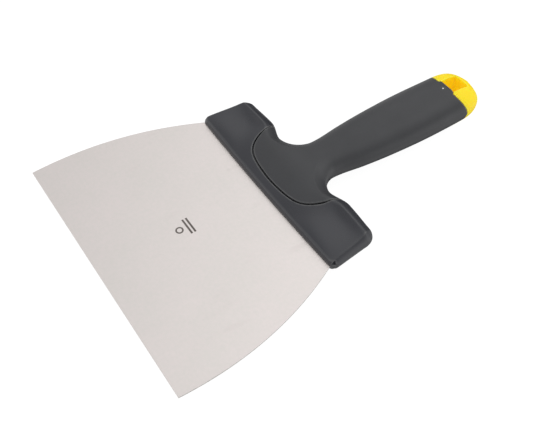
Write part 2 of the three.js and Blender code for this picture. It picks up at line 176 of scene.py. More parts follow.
def along(stations):
    """A smooth value along Y through a few (y, value) stations."""
    at, value = np.array(stations, float).T
    before = np.maximum(np.arange(len(at)) - 1, 0)
    after = np.minimum(np.arange(len(at)) + 1, len(at) - 1)
    slope = (value[after] - value[before]) / (at[after] - at[before])

    def curve(y):
        t = np.clip(y, at[0], at[-1])
        i = np.clip(np.searchsorted(at, t, side="right") - 1, 0, len(at) - 2)
        step = at[i + 1] - at[i]
        change = value[i + 1] - value[i]
        u = (t - at[i]) / step
        leave = (1 - u) * (slope[i] * step - change)
        arrive = u * (change - slope[i + 1] * step)
        return value[i] + change * u + u * (1 - u) * (leave + arrive)

    return curve


# A solid is a field: a function of points that is about the distance to its surface, negative
# inside. These combine two fields with an edge or a corner rounded to a radius.


def meet(a, b, radius):
    """What is inside both."""
    edge = np.hypot(np.maximum(a + radius, 0), np.maximum(b + radius, 0))
    return np.minimum(np.maximum(a, b), -radius) + edge


def cut(a, b, radius):
    """What is inside a and outside b."""
    return meet(a, -b, radius)


def slab(v, low, high):
    """What lies between two values."""
    return np.maximum(low - v, v - high)


# ---------------------------------------------------------------- form of the head


def nose_y(x):
    return NOSE_Y - NOSE_BOW * (1 - (x / NOSE_HALF) ** 2)


def back_y(side):
    """Back line: a hump on each wing and a dip beside the neck."""
    hump = smoothstep(side, DIP_X, HUMP_X)
    fall = smoothstep(side, HUMP_X, TIP_X)
    return lerp(BACK_ROOT_Y, BACK_WING_Y, hump) + (BACK_TIP_Y - BACK_WING_Y) * fall


def ridge_height(side):
    return lerp(ROOT_RIDGE_H, TIP_RIDGE_H, smoothstep(side, ROOT_X, TIP_X))


def head_top(side, y):
    """Height of the upper face: crowned over the root, hollow on the wings."""
    front = nose_y(side) + NOSE_LIP
    ridge = back_y(side) - RIDGE_INSET * ridge_height(side)
    t = np.maximum((y - front) / (ridge - front), 0)
    root = 1 - smoothstep(side, *CROWN_X)
    ease = lerp(*EASE, root)
    s = np.minimum(t, 1) - np.maximum(ease - np.abs(t - 1), 0) ** 2 / (4 * ease)
    wing = smoothstep(side, *DISH_X[:2]) * (1 - smoothstep(side, *DISH_X[2:]))
    belly = ROOT_CROWN * root - WING_DISH * wing
    step = WING_STEP * wing * s * (1 - s) * (1 - 2 * s)
    return lerp(NOSE_H, ridge_height(side), s + step) + belly * 4 * s * (1 - s)


def head(x, y, z, inset=0.0):
    """The whole head, moved in by an inset on its upper, lower and back faces."""
    side = np.abs(x)
    top = head_top(side, y)
    c = np.clip(np.abs(z) / top, 0, 1)
    slope = (head_top(side, y + SLOPE_STEP) - head_top(side, y - SLOPE_STEP)) / (2 * SLOPE_STEP)
    face = (np.abs(z) - top) / np.hypot(1, slope) + inset
    nose = nose_y(x) + NOSE_LIP * c * c - y
    nose = nose / np.hypot(1, 2 * NOSE_LIP * c / NOSE_H)
    lean = RIDGE_INSET * ridge_height(side) * c**BACK_POWER
    back = (y - back_y(side) + lean) / np.hypot(1, BACK_POWER * RIDGE_INSET * c) + inset
    behind = np.clip((y - NOSE_Y) / (END_BACK_Y - NOSE_Y), 0, END_PAST)
    swell = lerp(*END_BULGE, behind)
    end = side - lerp(END_FRONT, END_BACK, behind) - swell * (1 - c**2)
    end = end / np.hypot(1, 2 * swell * c / top) + inset
    rim = meet(back, end, lerp(*BACK_CORNER, 1 - c**2))
    rim = meet(rim, nose, lerp(*FRONT_CORNER, 1 - c**2))
    return meet(rim, face, RIDGE_ROUND)


# ---------------------------------------------------------------- form of the handle

grip_half = along(GRIP_HALF)
grip_top = along(GRIP_TOP)
grip_bottom = along(GRIP_BOTTOM)


def rise(curve, y):
    """Slope of a curve along Y."""
    return (curve(y + CURVE_STEP) - curve(y - CURVE_STEP)) / (2 * CURVE_STEP)


NOTCH_Y = BACK_ROOT_Y + NOTCH_R
NOTCH_X = grip_half(NOTCH_Y) + NOTCH_R


def lateness(y):
    """How far a point is through the rounding of the cap's end, from 0 to just under 1."""
    return np.clip((y - ROUND_Y) / (END_Y - ROUND_Y), 0, ROUND_LAST)


def half_width(y):
    return grip_half(y) * bulge(lateness(y), ROUND_PLAN)


def half_height(y):
    return (grip_top(y) - grip_bottom(y)) / 2 * bulge(lateness(y), ROUND_SIDE)


def handle(x, y, z, inset=0.0):
    """Neck, handle and cap. In plan its edge is the finger notch's arc and then the grip's side;
    in from that edge the surface rises as a superellipse, steeply at the head and evenly later."""
    side = np.abs(x)
    arc = NOTCH_R - np.hypot(np.maximum(NOTCH_X - side, 0), NOTCH_Y - y)
    straight = (side - half_width(y)) / np.hypot(1, rise(half_width, y))
    plan = lerp(arc, straight, smoothstep(y, NOTCH_Y + ARC_BLEND[0], NOTCH_Y + ARC_BLEND[1])) + inset
    late = smoothstep(y, NECK_SQUARE_Y, NECK_ROUND_Y)
    reach = lerp(RIDGE_INSET * ROOT_RIDGE_H, half_width(y), late) - inset
    middle = (grip_top(y) + grip_bottom(y)) / 2
    high = lerp(head_top(side, y), half_height(y), smoothstep(y, RISE_START, RISE_END)) - inset
    high, reach = np.maximum(high, THINNEST), np.maximum(reach, THINNEST)
    u = np.maximum(1 + plan / reach, 0)
    c = np.maximum(np.abs(z - middle) / high, SMALL)
    flat_power = lerp(1, OVAL_POWER, late)
    tall_power = lerp(BACK_POWER, OVAL_POWER, late)
    across = flat_power * np.maximum(u, SMALL) ** (flat_power - 1) / reach * (u > 0)
    upward = tall_power * c ** (tall_power - 1) / high * np.hypot(1, c * rise(half_height, y))
    form = (u**flat_power + c**tall_power - 1) / np.maximum(np.hypot(across, upward), SMALL)
    return np.maximum(np.maximum(form, y - END_Y + inset), plan - FARTHEST)


def body(x, y, z):
    """Head and handle as one form. Over the head, the handle is held between the finger notches."""
    beside = np.where(y < BACK_ROOT_Y, np.abs(x) - NOTCH_X - NECK_SIDE, INSIDE)
    neck = np.maximum(handle(x, y, z), np.maximum(NECK_START - y, beside))
    return np.minimum(head(x, y, z), neck)


# ---------------------------------------------------------------- where the pieces part


def seam(x, y):
    """Distance in plan from the line round the tongue, negative on the tongue's side."""
    side = np.abs(x)
    s = np.minimum(side / SEAM_HALF, 1)
    a, b, c = SEAM_CURVE
    line = SEAM_FRONT + a * s**2 + b * s**4 + c * s**6 + SEAM_SLOPE * np.maximum(side - SEAM_HALF, 0)
    slope = (2 * a * s + 4 * b * s**3 + 6 * c * s**5) / SEAM_HALF
    return (line - y) / np.hypot(1, slope)


def seam_gap(y):
    """Width of the seam, which closes up towards the back ridge."""
    return lerp(SEAM_GAP, GAP, smoothstep(y, *SEAM_CLOSES))


def past_grip(x, y, z):
    """Distance behind the line where the grip ends and the cap begins, with its square tab."""
    c = np.clip((z - CAP_MID_Z) / (grip_top(CAP_Y) - CAP_MID_Z), -1, 1)
    line = lerp(CAP_SIDE_Y, CAP_Y, np.abs(c) ** CAP_CURVE)
    lean = (TAB_BACK - TAB_FRONT) / (TAB_END - CAP_Y)
    tab_side = np.abs(x) - TAB_FRONT - lean * (y - CAP_Y)
    tab = np.maximum(tab_side, y - TAB_END)
    return np.minimum((y - line) / np.hypot(1, CAP_LEAN * c), tab)


def quarter_turn(count):
    return np.linspace(0, np.pi / 2, count)


def outline_points():
    """Right half of the blade's outline, from the working edge to the tang's tip."""
    t = np.linspace(0, 1, SIDE_POINTS)[:, None]
    a, b = np.array((EDGE_HALF, 0)), np.array((SIDE_BULGE[0], NOSE_Y / 3))
    c, d = np.array((SIDE_BULGE[1], 2 * NOSE_Y / 3)), np.array((NOSE_HALF, NOSE_Y))
    side = (1 - t) ** 3 * a + 3 * t * (1 - t) ** 2 * b + 3 * t**2 * (1 - t) * c + t**3 * d
    shoulder = [(PLATE_HALF + SHOULDER[0], NOSE_Y + SHOULDER[1]), (PLATE_HALF, NOSE_Y + PLATE_STEP)]
    turn = quarter_turn(TURN_POINTS)
    corner_x = PLATE_HALF - PLATE_CORNER + PLATE_CORNER * np.cos(turn)
    corner_y = PLATE_END - PLATE_CORNER + PLATE_CORNER * np.sin(turn)
    fillet_x = TANG_HALF + TANG_FILLET - TANG_FILLET * np.sin(turn)
    fillet_y = PLATE_END + TANG_FILLET * (1 - np.cos(turn))
    corner, fillet = np.stack([corner_x, corner_y], 1), np.stack([fillet_x, fillet_y], 1)
    tang = [(TANG_HALF, TANG_STEP_Y), (TANG_TIP_HALF, TANG_STEP_Y + TANG_STEP)]
    tip = [(TANG_TIP_HALF, TANG_END - TANG_TIP_CORNER), (TANG_TIP_HALF - TANG_TIP_CORNER, TANG_END)]
    return np.concatenate([side, shoulder, corner, fillet, tang, tip])


OUTLINE = outline_points()
outline_y = np.maximum.accumulate(OUTLINE[:, 1] + np.arange(len(OUTLINE)) * OUTLINE_LIFT)


def pocket(x, y, z):
    """The blade's own space, grown by the clearance."""
    half = np.interp(y, outline_y, OUTLINE[:, 0])
    plan = np.maximum(np.abs(x) - half - GAP, y - TANG_END - GAP)
    return np.maximum(plan, np.abs(z) - BLADE_T / 2 - GAP)


def rivet_holes(x, y, z):
    """The stepped holes that the rivets sit in."""
    holes = np.full(np.broadcast(x, y, z).shape, np.inf)
    for name in RIVETS:
        low, high = corners(name)
        middle = (low + high) / 2
        radius = (high[0] - low[0]) / 2
        away = np.hypot(x - middle[0], y - middle[1])
        shaft = away - RIVET_SHAFT * radius - GAP
        shoulder = high[2] - RIVET_HEAD * radius - GAP
        head_space = np.maximum(away - radius - GAP, shoulder - np.abs(z))
        holes = np.minimum(holes, np.minimum(shaft, head_space))
    return holes


def spine(x, y, z):
    """The shells' spine inside the grip, and its two barbed prongs."""
    side = np.abs(x)
    bar = np.maximum(side - SPINE_HALF, slab(y, SPINE_START, PRONG_START))
    bar = np.maximum(bar, np.abs(z) - SPINE_H)
    barb_start = BORE_END + GAP
    barb = np.interp(y, (barb_start + BARB_LAND, SPINE_END), (BARB_HALF, SPINE_HALF - PRONG_TAPER))
    reach = np.where(y < barb_start, SPINE_HALF, barb)
    prong = np.maximum(slab(side, PRONG_INNER, reach), slab(y, PRONG_START - PRONG_ROOT, SPINE_END))
    prong = np.maximum(prong, np.abs(z) - PRONG_H)
    return np.minimum(bar, prong)


def pin_hole(x, y):
    middle = (pin_low + pin_high) / 2
    return np.hypot(x - middle[0], y - middle[1]) - (pin_high[0] - pin_low[0]) / 2 - GAP


def corner_notch(x, y, z):
    """The small moulded notch in each front corner, above and below the blade."""
    away = [
        np.abs(v - at) - half
        for v, at, half in zip((np.abs(x), y, np.abs(z)), CORNER_NOTCH_AT, CORNER_NOTCH_HALF)
    ]
    return np.maximum(np.maximum(away[0], away[1]), away[2])


def shell(x, y, z):
    """The upper head shell: wings, the core under the tongue, and half the spine."""
    wings = meet(head(x, y, z), seam_gap(y) - seam(x, y), MOULD_EDGE)
    core = np.minimum(head(x, y, z, TONGUE_T + GAP), spine(x, y, z))
    whole = np.minimum(wings, core)
    whole = cut(whole, pocket(x, y, z), POCKET_EDGE)
    whole = np.maximum(whole, -rivet_holes(x, y, z))
    whole = cut(whole, corner_notch(x, y, z), NOTCH_EDGE)
    return meet(whole, GAP / 2 - z, PARTING_EDGE)


def grip(x, y, z):
    """The grip with its two tongues, hollow, and bored for the spine and the pin."""
    outer = meet(body(x, y, z), seam(x, y), MOULD_EDGE)
    outer = meet(outer, past_grip(x, y, z), CAP_EDGE)
    bore = np.maximum(np.abs(x) - SPINE_HALF - GAP, slab(y, SPINE_START - BORE_LEAD, BORE_END + BORE_LAP))
    bore = np.maximum(bore, np.abs(z) - SPINE_H - GAP)
    hollow = np.maximum(handle(x, y, z, GRIP_WALL), BORE_END - y)
    inner = np.minimum(np.minimum(head(x, y, z, TONGUE_T), bore), hollow)
    return cut(np.maximum(outer, -inner), pin_hole(x, y), PIN_EDGE)


def slot(x, y):
    """The hanging slot, a rounded rectangle in plan."""
    centre, half = (SLOT_START + SLOT_END) / 2, (SLOT_END - SLOT_START) / 2
    return meet(np.abs(x) - SLOT_HALF, np.abs(y - centre) - half, SLOT_CORNER)


def end_cap(x, y, z):
    """The cap, its hollow-ended tenon inside the grip, the slot and the pin's hole."""
    outer = meet(handle(x, y, z), GAP - past_grip(x, y, z), CAP_EDGE)
    tenon = handle(x, y, z, GRIP_WALL + GAP)
    tenon = np.maximum(tenon, slab(y, TENON_START, TAB_END + TENON_PAST_TAB))
    relief = np.maximum(handle(x, y, z, TENON_RIM), y - TENON_START - TENON_MOUTH)
    whole = np.minimum(outer, np.maximum(tenon, -relief))
    whole = cut(whole, slot(x, y), SLOT_EDGE)
    return np.maximum(whole, -pin_hole(x, y))


# ---------------------------------------------------------------- fields to meshes

SETTLE_ROUNDS, SETTLE_STEP, LEAST_SLOPE = 3, 0.02, 0.05
NO_LENGTH = 1e-9
ON_GRID = 1e-6  # a grid value nearer zero than this is moved off it
DENSITY_POINTS = 4000
MARGIN = 1  # space round a piece inside its grid
EDGE_SHARP = (0.08, 0.55)  # curvature per mm at which an edge starts to take the painted highlight and the polish, and takes them fully
EDGE_SHORTEST = 0.2  # shorter mesh edges count as this long, so small cells don't look sharp

# the twelve edges of a grid cell, between corners numbered by the bits of their x, y and z
EDGES = [(a, b) for a in range(8) for b in range(a + 1, 8) if bin(a ^ b).count("1") == 1]


def surface_points(field, lines, values):
    """One vertex in each grid cell that the surface crosses, at the mean of its edge crossings."""
    shape = np.array(values.shape) - 1
    corner = [
        values[i : i + shape[0], j : j + shape[1], k : k + shape[2]]
        for i in (0, 1)
        for j in (0, 1)
        for k in (0, 1)
    ]
    inside = sum((c < 0).astype(np.int8) for c in corner)
    cells = np.argwhere((inside > 0) & (inside < 8))
    at = tuple(cells.T)
    total = np.zeros((len(cells), 3))
    count = np.zeros(len(cells))
    for a, b in EDGES:
        va, vb = corner[a][at], corner[b][at]
        crossed = (va < 0) != (vb < 0)
        t = va[crossed] / (va[crossed] - vb[crossed])
        pa = np.array([(a >> 2) & 1, (a >> 1) & 1, a & 1], float)
        pb = np.array([(b >> 2) & 1, (b >> 1) & 1, b & 1], float)
        total[crossed] += pa + t[:, None] * (pb - pa)
        count[crossed] += 1
    first = np.stack([line[i] for line, i in zip(lines, at)], 1)
    size = np.stack([line[i + 1] for line, i in zip(lines, at)], 1) - first
    points = first + size * total / count[:, None]
    number = np.full(shape, -1)
    number[at] = np.arange(len(cells))
    return settle(field, points, size.min(1, keepdims=True)), number


def settle(field, points, pitch):
    """Moves points onto the surface, each by at most half a cell."""
    start = points.copy()
    step = SETTLE_STEP
    for _ in range(SETTLE_ROUNDS):
        x, y, z = points.T
        value = field(x, y, z)
        slope = np.stack([
            field(x + step, y, z) - field(x - step, y, z),
            field(x, y + step, z) - field(x, y - step, z),
            field(x, y, z + step) - field(x, y, z - step),
        ], 1) / (2 * step)
        size = np.maximum((slope**2).sum(1), LEAST_SLOPE)
        points = points - (value / size)[:, None] * slope
        shift = points - start
        far = np.linalg.norm(shift, axis=1, keepdims=True)
        points = start + shift * np.minimum(1, 0.5 * pitch / np.maximum(far, NO_LENGTH))
    return points


def quads(values, number):
    """One quad round each grid edge that the surface crosses, facing out."""
    faces = []
    inside = values < 0
    for axis in range(3):
        u, v = (axis + 1) % 3, (axis + 2) % 3
        first = np.take(inside, range(inside.shape[axis] - 1), axis)
        second = np.take(inside, range(1, inside.shape[axis]), axis)
        for leaving in (True, False):
            edge = np.argwhere((first & ~second) if leaving else (~first & second))
            ring = []
            for du, dv in ((0, 0), (1, 0), (1, 1), (0, 1)):
                cell = edge.copy()
                cell[:, u] -= 1 - du
                cell[:, v] -= 1 - dv
                ring.append(number[tuple(cell.T)])
            ring = np.stack(ring if leaving else ring[::-1], 1)
            faces.append(ring)
    return np.concatenate(faces)


def grid_lines(low, high, pitches):
    """Grid lines from low to high; pitches are (where, spacing) pairs that blend into each other."""
    where, spacing = np.array(pitches, float).T
    fine = np.linspace(low, high, DENSITY_POINTS)
    density = 1 / np.interp(fine, where, spacing)
    passed = np.concatenate([[0], np.cumsum((density[1:] + density[:-1]) / 2 * np.diff(fine))])
    count = int(np.ceil(passed[-1]))
    return np.interp(np.linspace(0, passed[-1], count + 1), passed, fine)


def solid(name, field, low, high, across, along_y, upward):
    """A closed mesh of a field inside a box, the same on both sides of X = 0, with a mask of its outward
    edges for a painted highlight and polish.
    """
    half = grid_lines(0, high[0] + MARGIN, across)
    ys = grid_lines(low[1] - MARGIN, high[1] + MARGIN, along_y)
    zs = grid_lines(low[2] - MARGIN, high[2] + MARGIN, upward)
    right = field(half[:, None, None], ys[None, :, None], zs[None, None, :])
    right = np.where(np.abs(right) < ON_GRID, ON_GRID, right)
    values = np.concatenate([right[:0:-1], right])
    lines = (np.concatenate([-half[:0:-1], half]), ys, zs)
    points, number = surface_points(field, lines, values)
    faces = quads(values, number)
    made = smooth_object(name, points, faces.tolist())
    # mask of outward edges: the materials paint these paler as a highlight along the ridges, and make
    # them smoother
    ridge_highlight_and_polish = made.data.attributes.new("ridge_highlight_and_polish", "FLOAT", "POINT")
    ridge_highlight_and_polish.data.foreach_set("value", outward_edge_mask(points, faces).astype(np.float32))
    return made


def outward_edge_mask(points, faces):
    """How much each vertex lies on an outward edge, from 0 to 1, from how the normals turn there."""
    corner = points[faces]
    across = np.cross(corner[:, 2] - corner[:, 0], corner[:, 3] - corner[:, 1])
    normal = np.zeros_like(points)
    for k in range(4):
        np.add.at(normal, faces[:, k], across)
    normal /= np.maximum(np.linalg.norm(normal, axis=1, keepdims=True), NO_LENGTH)
    a = faces.ravel()
    b = np.roll(faces, -1, axis=1).ravel()
    reach = points[b] - points[a]
    length = np.maximum((reach**2).sum(1), EDGE_SHORTEST**2)
    turn = ((normal[b] - normal[a]) * reach).sum(1) / length
    ends = np.concatenate([a, b])
    count = np.bincount(ends, minlength=len(points))
    curved = np.bincount(ends, np.concatenate([turn, turn]), len(points)) / count
    curved = np.bincount(ends, curved[np.concatenate([b, a])], len(points)) / count
    return smoothstep(curved, *EDGE_SHARP)


def link_object(name, data):
    """An object in the scene that shows some data."""
    made = bpy.data.objects.new(name, data)
    bpy.context.scene.collection.objects.link(made)
    return made


def smooth_object(name, points, faces):
    """A smooth shaded object from points in millimetres and faces."""
    mesh = bpy.data.meshes.new(name)
    mesh.from_pydata((np.asarray(points) * MM).tolist(), [], faces)
    mesh.update()
    mesh.shade_smooth()
    return link_object(name, mesh)


def stand_for(made, node):
    """Lets a made object take the place of a CAD node."""
    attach(made, "root")
    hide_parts(node)
    return made


# ---------------------------------------------------------------- pieces

# grid pitches for each solid, as (where, spacing) pairs
HEAD_X = ((0, 0.7), (18, 0.6), (42, 0.5), (60, 0.6), (72, 0.4))
HEAD_Y = ((120, 0.25), (123, 0.25), (126, 0.5), (164, 0.5), (170, 0.9))
HEAD_Z = ((0, 0.2), (1.1, 0.25), (3, 0.45))
GRIP_X = ((0, 0.55), (11, 0.55), (15, 0.75))
GRIP_Y = ((129, 0.5), (166, 0.5), (178, 1.1), (276, 1.1), (282, 0.45))
GRIP_Z = ((-12, 0.75), (-6, 0.6), (6, 0.5), (8, 0.45))
CAP_X = ((0, 0.4), (10, 0.4), (14, 0.5))
CAP_Y_LINES = ((272, 0.6), (281, 0.4))
CAP_Z = ((-10, 0.55), (6, 0.4))


def make_shells():
    """The upper shell, and the lower as its mirror image."""
    upper = solid("upper_shell", shell, shell_low, shell_high, HEAD_X, HEAD_Y, HEAD_Z)
    lower = upper.copy()
    lower.data = upper.data.copy()
    lower.name = lower.data.name = "lower_shell"
    bpy.context.scene.collection.objects.link(lower)
    lower.data.transform(Matrix.Diagonal((1, 1, -1, 1)))
    lower.data.flip_normals()
    stand_for(upper, "head_upper_shell")
    stand_for(lower, "head_lower_shell")
    return [upper, lower]


def blade_rows():
    """Where the rows across the blade lie along Y; they are close together at both ends."""
    front = [*FRONT_ROWS, BLADE_EDGE, 2 * BLADE_EDGE]
    back = [TANG_END - BLADE_EDGE, TANG_END - BACK_ROW]
    side = np.linspace(0, NOSE_Y, BLADE_ROWS)[1:]
    return np.unique(np.round(np.concatenate([front, side, OUTLINE[SIDE_POINTS:, 1], back]), 4))


def blade_loop(half, t):
    """A closed loop round the sheet as (x, z) points: half its width, and half its thickness t."""
    edge = BLADE_EDGE
    turn = quarter_turn(BLADE_TURN)
    inner = np.linspace(2 * edge - half, half - 2 * edge, BLADE_STEPS)
    flat = np.concatenate([[edge - half], inner, [half - edge]])
    right = [(half - edge + edge * np.sin(a), t - edge + edge * np.cos(a)) for a in turn[1:]]
    right += [(half - edge + edge * np.cos(a), -t + edge - edge * np.sin(a)) for a in turn[:-1]]
    left = [(-x, z) for x, z in right[::-1]]
    return [(x, t) for x in flat] + right + [(x, -t) for x in flat[::-1]] + left


def ring_faces(rings, size):
    """Quads between rings of points that follow each other."""
    faces = []
    for ring in range(rings - 1):
        a = ring * size
        for i in range(size):
            j = (i + 1) % size
            faces.append((a + i, a + size + i, a + size + j, a + j))
    return faces


def make_blade():
    """The blade as rows across it, each a closed loop round the sheet with rounded edges."""
    points = []
    rows = blade_rows()
    for y, half in zip(rows, np.interp(rows, outline_y, OUTLINE[:, 0])):
        near = min(y, TANG_END - y)
        drop = BLADE_EDGE - np.sqrt(max(BLADE_EDGE**2 - max(BLADE_EDGE - near, 0) ** 2, 0))
        loop = blade_loop(half, BLADE_T / 2 - drop)
        points += [(x, y, z) for x, z in loop]
    size = len(loop)
    last = (len(rows) - 1) * size
    faces = ring_faces(len(rows), size)
    faces.append(tuple(range(size)))
    faces.append(tuple(last + i for i in range(size))[::-1])
    return stand_for(smooth_object("blade_sheet", points, faces), "blade")


def lathe(name, profile, centre):
    """A closed turned piece from (radius, z) points; the first and last lie on the axis."""
    angle = np.arange(LATHE_SIDES) / LATHE_SIDES * 2 * np.pi
    x, y = np.cos(angle), np.sin(angle)
    points = [
        (radius * u + centre[0], radius * v + centre[1], z)
        for radius, z in profile[1:-1]
        for u, v in zip(x, y)
    ]
    points += [(centre[0], centre[1], profile[0][1]), (centre[0], centre[1], profile[-1][1])]
    rings = len(profile) - 2
    faces = [face[::-1] for face in ring_faces(rings, LATHE_SIDES)]
    low, high = rings * LATHE_SIDES, rings * LATHE_SIDES + 1
    last = (rings - 1) * LATHE_SIDES
    for i in range(LATHE_SIDES):
        j = (i + 1) % LATHE_SIDES
        faces += [(low, j, i), (high, last + i, last + j)]
    return smooth_object(name, points, faces)


def make_pin():
    """The cross pin, with domed ends."""
    radius = (pin_high[0] - pin_low[0]) / 2
    profile = [(part * radius, pin_low[2] + away) for part, away in PIN_LOW_END]
    profile += [(part * radius, pin_high[2] - away) for part, away in PIN_HIGH_END]
    return stand_for(lathe("cap_pin_turned", profile, (pin_low + pin_high) / 2), "cap_pin")


def make_rivet(node):
    """A turned rivet with two flat heads, their edges broken."""
    low, high = corners(node)
    radius = (high[0] - low[0]) / 2
    reach, under = high[2], high[2] - RIVET_HEAD * radius
    top = [(radius - RIVET_BREAK, reach), (radius, reach - RIVET_BREAK)]
    top += [(radius, under), (RIVET_SHAFT * radius, under)]
    profile = [(0, -reach)] + [(r, -z) for r, z in top] + top[::-1] + [(0, reach)]
    return stand_for(lathe(node + "_turned", profile, (low + high) / 2), node)


shells = make_shells()
grip_solid = solid("grip_moulding", grip, grip_low, grip_high, GRIP_X, GRIP_Y, GRIP_Z)
grip_piece = stand_for(grip_solid, "grip")
cap_solid = solid("cap_moulding", end_cap, cap_low, cap_high, CAP_X, CAP_Y_LINES, CAP_Z)
cap_piece = stand_for(cap_solid, "end_cap")
blade_piece = make_blade()
pin_piece = make_pin()
rivet_pieces = [make_rivet(node) for node in RIVETS]


# ---------------------------------------------------------------- materials

GREY = (0.0257, 0.0267, 0.0337)
# paler grey painted along the ridges as a highlight
GREY_RIDGE_HIGHLIGHT = (0.092, 0.093, 0.095)
GRIP_GREY = (0.040, 0.041, 0.045)
YELLOW = (0.96, 0.735, 0.016)
# paler yellow painted along the ridges as a highlight
YELLOW_RIDGE_HIGHLIGHT = (0.96, 0.80, 0.06)
YELLOW_TRANSLUCENCY_AND_GLOW = {
    "Specular_IOR_Level": 0.2,
    "Subsurface_Weight": 0.5,
    "Subsurface_Radius": (1.0, 0.6, 0.1),
    "Subsurface_Scale": 0.006,
    # the emission is painted light: a faint glow that brightens the cap's shaded walls and slot
    "Emission_Color": (1.0, 0.72, 0.01, 1.0),
    "Emission_Strength": 0.15,
}
BLADE_STEEL = (0.738, 0.684, 0.668)
COOLER = (0.985, 1.01, 0.995)  # tint of the sheet's darker clouds
PIN_STEEL = (0.70, 0.69, 0.68)

# the blade's etched mark, in mm: a ring at this centre, and two bars at these distances along Y
MARK_AT = (-1, 59)
MARK_RING, MARK_LINE = 2.2, 0.9
MARK_BAR_HALF, MARK_BARS, MARK_BAR_T = 6.5, (5.7, 8.3), 1.2
MARK_SOFT = 0.15
MARK_ABOVE = (0.3, 0.4)  # heights between which it fades in, so only the upper face has it
MARK_DARK = (0.10, 0.085, 0.075)


class Graph:
    """The nodes of one material, made and linked by short calls. Noise scales are per metre."""

    def __init__(self, name):
        self.material = bpy.data.materials.new(name)
        self.material.use_nodes = True
        self.nodes = self.material.node_tree.nodes
        self.links = self.material.node_tree.links
        self.shader = self.nodes["Principled BSDF"]
        self.place = self.nodes.new("ShaderNodeTexCoord").outputs["Object"]

    def feed(self, socket, value):
        if isinstance(value, bpy.types.NodeSocket):
            self.links.new(value, socket)
        else:
            socket.default_value = value

    def math(self, operation, a, b=0.0):
        node = self.nodes.new("ShaderNodeMath")
        node.operation = operation
        self.feed(node.inputs[0], a)
        self.feed(node.inputs[1], b)
        return node.outputs[0]

    def separate(self, vector):
        node = self.nodes.new("ShaderNodeSeparateXYZ")
        self.links.new(vector, node.inputs[0])
        return node.outputs

    def stretch(self, scale):
        """The object's own coordinates, scaled along each axis."""
        node = self.nodes.new("ShaderNodeMapping")
        self.links.new(self.place, node.inputs["Vector"])
        node.inputs["Scale"].default_value = scale
        return node.outputs[0]

    def noise(self, scale, detail=2.0, rough=0.5, at=None):
        node = self.nodes.new("ShaderNodeTexNoise")
        self.links.new(at or self.place, node.inputs["Vector"])
        node.inputs["Scale"].default_value = scale
        node.inputs["Detail"].default_value = detail
        node.inputs["Roughness"].default_value = rough
        return node.outputs["Fac"]

    def span(self, value, low, high, to_low, to_high):
        """Maps a value from one range to another, clamped."""
        node = self.nodes.new("ShaderNodeMapRange")
        self.links.new(value, node.inputs["Value"])
        ends = {"From Min": low, "From Max": high, "To Min": to_low, "To Max": to_high}
        for name, v in ends.items():
            node.inputs[name].default_value = v
        return node.outputs[0]

    def mix(self, factor, a, b):
        """A colour between two others."""
        node = self.nodes.new("ShaderNodeMix")
        node.data_type = "RGBA"
        self.feed(node.inputs[0], factor)
        for socket, colour in ((node.inputs[6], a), (node.inputs[7], b)):
            self.feed(socket, (*colour, 1) if isinstance(colour, tuple) else colour)
        return node.outputs[2]

    def edges(self):
        """How much a point lies on a raised edge, from 0 to 1."""
        node = self.nodes.new("ShaderNodeAttribute")
        node.attribute_name = "ridge_highlight_and_polish"
        return node.outputs["Fac"]

    def bump(self, height, strength, depth, below=None):
        node = self.nodes.new("ShaderNodeBump")
        node.inputs["Strength"].default_value = strength
        node.inputs["Distance"].default_value = depth
        self.links.new(height, node.inputs["Height"])
        if below:
            self.links.new(below, node.inputs["Normal"])
        return node.outputs[0]

    def finish(self, colour, roughness, normal, **rest):
        self.feed(self.shader.inputs["Base Color"], colour)
        self.feed(self.shader.inputs["Roughness"], roughness)
        self.links.new(normal, self.shader.inputs["Normal"])
        for name, value in rest.items():
            self.shader.inputs[name.replace("_", " ")].default_value = value
        return self.material


def shade(colour, factor):
    """A colour made paler or darker by a factor."""
    return tuple(v * factor for v in colour)


def plastic(name, colour, mottle, highlight_colour, roughness, grain, **rest):
    """Moulded plastic: cloudy colour, fine spark-eroded grain, and a painted highlight that turns the
    outward edges paler, which are also made smoother.
    """
    g = Graph(name)
    clouds = g.noise(38, 3, 0.55)
    specks = g.noise(900, 2, 0.6)
    cloudy = g.math("ADD", g.math("MULTIPLY", clouds, 0.7), g.math("MULTIPLY", specks, 0.3))
    base = g.mix(g.span(cloudy, 0.35, 0.65, 0, 1), shade(colour, 1 - mottle), shade(colour, 1 + mottle))
    # painted highlight: outward edges are painted paler as glints along the ridges; the same mask also
    # lowers their roughness
    edge_highlight_and_polish = g.math("MULTIPLY", g.edges(), g.span(g.noise(110, 2), 0.3, 0.6, 0.7, 1))
    base = g.mix(edge_highlight_and_polish, base, highlight_colour)
    uneven = g.span(g.noise(60, 4, 0.6), 0.3, 0.7, roughness - 0.05, roughness + 0.05)
    rough = g.math("SUBTRACT", uneven, g.math("MULTIPLY", edge_highlight_and_polish, 0.08))
    fine = g.bump(g.noise(2600, 2, 0.5), grain, 0.00004)
    waves = g.bump(g.noise(150, 2, 0.4), 0.3, 0.00005, fine)
    return g.finish(base, rough, waves, **rest)


